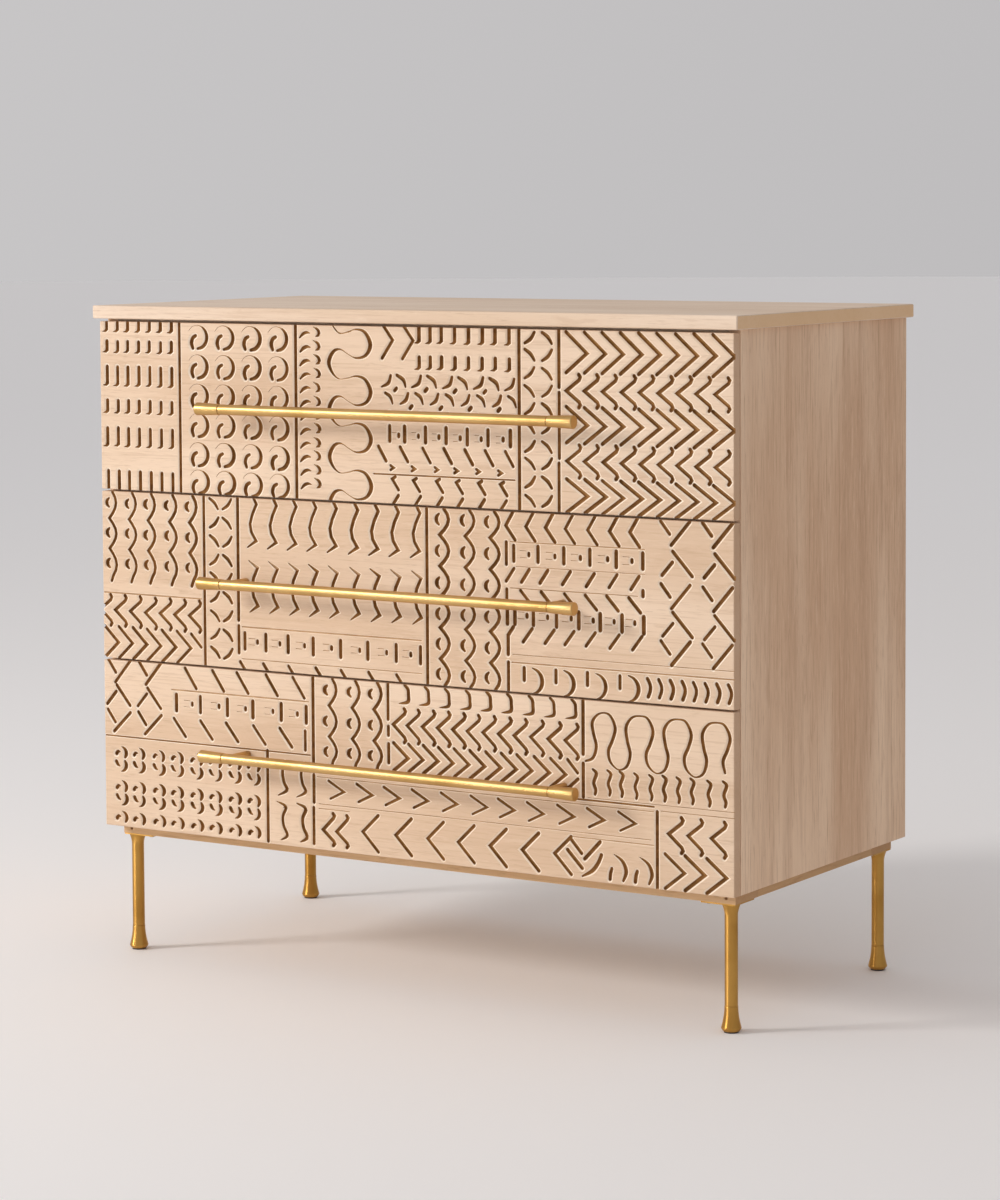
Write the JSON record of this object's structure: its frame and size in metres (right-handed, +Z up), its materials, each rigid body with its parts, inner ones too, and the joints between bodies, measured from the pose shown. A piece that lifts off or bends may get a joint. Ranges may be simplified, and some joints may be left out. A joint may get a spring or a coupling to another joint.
{
  "type": "dresser",
  "caption": "Low chest of full-width drawers with carved pale wood fronts, brass bar handles and slim turned brass legs.",
  "frame": {"origin": "on the floor under the middle of the closed dresser's box, handles included", "axes": "+X to the viewer's right across the front, +Y from front to back, +Z up"},
  "size_m": [1.016, 0.5468, 0.907],
  "materials": {
    "pale_wood": "bleached, satin",
    "drawer_wood": "clear satin",
    "plywood": "plain",
    "satin_brass": "satin",
    "zinc_steel": "zinc plated",
    "black_plastic": "matte",
    "clear_rubber": "soft, translucent"
  },
  "bodies": {
    "case": {"top_panel": "pale_wood", "left_side_panel": "pale_wood", "right_side_panel": "pale_wood", "bottom_panel": "pale_wood", "back_panel": "plywood", "front_top_rail": "pale_wood", "back_top_rail": "pale_wood", "lower_divider_rail": "pale_wood", "upper_divider_rail": "pale_wood", "case_screws": "zinc_steel", "case_tenons": "drawer_wood", "base_front_rail": "pale_wood", "base_back_rail": "pale_wood", "base_left_rail": "pale_wood", "base_right_rail": "pale_wood", "legs": "satin_brass", "leg_plates": "satin_brass", "leg_feet": "satin_brass", "leg_glides": "black_plastic", "leg_screws": "zinc_steel", "drawer_bumpers": "clear_rubber", "lower_slide_outers": "zinc_steel", "middle_slide_outers": "zinc_steel", "upper_slide_outers": "zinc_steel"},
    "lower_drawer": {"lower_front": "pale_wood", "lower_box_front": "drawer_wood", "lower_box_back": "drawer_wood", "lower_left_side": "drawer_wood", "lower_right_side": "drawer_wood", "lower_bottom": "plywood", "lower_handle_bar": "satin_brass", "lower_handle_posts": "satin_brass", "lower_drawer_screws": "zinc_steel", "lower_slide_inners": "zinc_steel"},
    "lower_cages": {"lower_ball_cages": "zinc_steel"},
    "middle_drawer": {"middle_front": "pale_wood", "middle_box_front": "drawer_wood", "middle_box_back": "drawer_wood", "middle_left_side": "drawer_wood", "middle_right_side": "drawer_wood", "middle_bottom": "plywood", "middle_handle_bar": "satin_brass", "middle_handle_posts": "satin_brass", "middle_drawer_screws": "zinc_steel", "middle_slide_inners": "zinc_steel"},
    "middle_cages": {"middle_ball_cages": "zinc_steel"},
    "upper_drawer": {"upper_front": "pale_wood", "upper_box_front": "drawer_wood", "upper_box_back": "drawer_wood", "upper_left_side": "drawer_wood", "upper_right_side": "drawer_wood", "upper_bottom": "plywood", "upper_handle_bar": "satin_brass", "upper_handle_posts": "satin_brass", "upper_drawer_screws": "zinc_steel", "upper_slide_inners": "zinc_steel"},
    "upper_cages": {"upper_ball_cages": "zinc_steel"}
  },
  "joints": [
    {"name": "lower_drawer_slide", "type": "slide", "parent": "case", "child": "lower_drawer", "axis": [0, -1, 0], "range_m": [0, 0.3]},
    {"name": "lower_cage_roll", "type": "slide", "parent": "case", "child": "lower_cages", "axis": [0, -1, 0], "range_m": [0, 0.15]},
    {"name": "middle_drawer_slide", "type": "slide", "parent": "case", "child": "middle_drawer", "axis": [0, -1, 0], "range_m": [0, 0.3]},
    {"name": "middle_cage_roll", "type": "slide", "parent": "case", "child": "middle_cages", "axis": [0, -1, 0], "range_m": [0, 0.15]},
    {"name": "upper_drawer_slide", "type": "slide", "parent": "case", "child": "upper_drawer", "axis": [0, -1, 0], "range_m": [0, 0.3]},
    {"name": "upper_cage_roll", "type": "slide", "parent": "case", "child": "upper_cages", "axis": [0, -1, 0], "range_m": [0, 0.15]}
  ],
  "couplings": [
    {"joint": "lower_cage_roll", "follows": "lower_drawer_slide", "ratio": 0.5},
    {"joint": "middle_cage_roll", "follows": "middle_drawer_slide", "ratio": 0.5},
    {"joint": "upper_cage_roll", "follows": "upper_drawer_slide", "ratio": 0.5}
  ]
}
